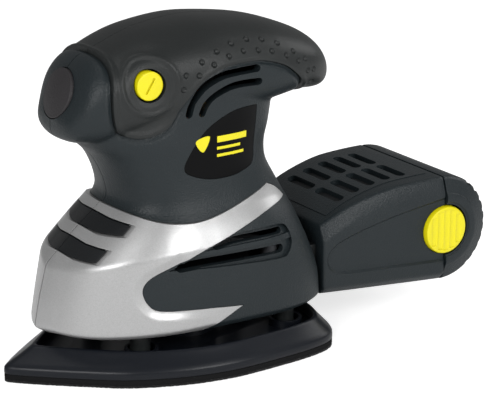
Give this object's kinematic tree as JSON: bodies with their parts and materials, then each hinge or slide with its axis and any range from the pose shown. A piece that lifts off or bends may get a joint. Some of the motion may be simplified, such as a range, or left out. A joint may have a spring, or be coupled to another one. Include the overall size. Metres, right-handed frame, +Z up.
{
  "type": "detail sander",
  "caption": "Detail sander with a palm handle, a pointed orbiting pad and a clip-on dust box behind.",
  "frame": {"origin": "where the motor axis meets the plane of the sole", "axes": "+X towards the dust box, -X towards the pad's tip, +Z up through the handle"},
  "size_m": [0.2183, 0.092, 0.1409],
  "materials": {
    "shell_plastic": "fine moulded texture, dark slate grey",
    "grip_rubber": "soft overmoulded rubber with dimples",
    "silver_plastic": "silver paint with a fine metallic grain",
    "badge_plastic": "high gloss black",
    "yellow_plastic": "bright yellow moulded plastic",
    "platen_plastic": "smooth black moulding",
    "pad_foam": "cut edge of black foam",
    "hook_fabric": "hook pile",
    "fleece": "filter fleece",
    "black_plastic": "black moulded plastic",
    "ivory_plastic": "natural nylon",
    "board": "printed board",
    "steel": "ground and plated steel",
    "laminations": "stacked laminations",
    "copper": "enamelled copper",
    "brass": "pressed brass",
    "carbon": "pressed carbon",
    "cast_metal": "die cast metal"
  },
  "bodies": {
    "housing": {"housing_left": "shell_plastic", "housing_right": "shell_plastic", "grip_left": "grip_rubber", "grip_right": "grip_rubber", "fairing_left": "silver_plastic", "fairing_right": "silver_plastic", "badge_left": "badge_plastic", "badge_right": "badge_plastic", "base_cover": "shell_plastic", "base_cover_screws": "steel", "housing_screws": "steel", "flex_posts": "grip_rubber", "stator_core": "laminations", "field_coils": "copper", "upper_bearing": "steel", "lower_bearing": "steel", "motor_bracket": "cast_metal", "brush_plate": "black_plastic", "brush_holder_left": "brass", "brush_holder_right": "brass", "carbon_brush_left": "carbon", "carbon_brush_right": "carbon", "brush_springs": "steel", "switch_body": "black_plastic", "speed_module": "board", "cord_gland": "grip_rubber", "cord_clamp": "black_plastic", "clamp_screws": "steel", "dust_duct": "shell_plastic"},
    "rotor": {"armature_core": "laminations", "armature_windings": "copper", "commutator": "copper", "armature_shaft": "steel", "fan": "black_plastic", "counterweight": "cast_metal", "spindle_screw": "steel", "spindle_washer": "steel"},
    "pad": {"eccentric_bearing": "steel", "platen": "platen_plastic", "platen_screws": "steel", "bearing_retainer": "steel", "foam_pad": "pad_foam", "hook_layer": "hook_fabric"},
    "dust_box": {"dust_box": "shell_plastic", "vent_panel": "shell_plastic", "filter_fleece": "fleece", "filter_frame": "black_plastic", "duct_gasket": "grip_rubber"},
    "end_cap": {"end_cap": "shell_plastic", "latch_springs": "steel"},
    "latch_left": {"latch_button_left": "yellow_plastic"},
    "latch_right": {"latch_button_right": "yellow_plastic"},
    "switch": {"switch_plunger": "ivory_plastic", "switch_boot": "grip_rubber"},
    "dial": {"speed_dial": "yellow_plastic"}
  },
  "joints": [
    {"name": "motor_spin", "type": "hinge", "parent": "housing", "child": "rotor", "pos_m": [0, 0, 0.06], "axis": [0, 0, 1], "continuous": true},
    {"name": "pad_orbit", "type": "hinge", "parent": "rotor", "child": "pad", "pos_m": [0.0008, 0, 0.013], "axis": [0, 0, 1], "continuous": true},
    {"name": "dust_box_slide", "type": "slide", "parent": "housing", "child": "dust_box", "axis": [1, 0, 0], "range_m": [0, 0.04]},
    {"name": "end_cap_slide", "type": "slide", "parent": "dust_box", "child": "end_cap", "axis": [1, 0, 0], "range_m": [0, 0.03]},
    {"name": "latch_left_press", "type": "slide", "parent": "end_cap", "child": "latch_left", "axis": [0, 1, 0], "range_m": [0, 0.0025], "stiffness_N_per_m": 600},
    {"name": "latch_right_press", "type": "slide", "parent": "end_cap", "child": "latch_right", "axis": [0, -1, 0], "range_m": [0, 0.0025], "stiffness_N_per_m": 600},
    {"name": "switch_press", "type": "slide", "parent": "housing", "child": "switch", "axis": [0.9397, 0, -0.342], "range_m": [0, 0.002], "stiffness_N_per_m": 800},
    {"name": "dial_turn", "type": "hinge", "parent": "housing", "child": "dial", "pos_m": [-0.0282, -0.025, 0.1202], "axis": [0, -1, 0], "range_deg": [-120, 120]}
  ],
  "couplings": [
    {"joint": "pad_orbit", "follows": "motor_spin", "ratio": -1}
  ]
}
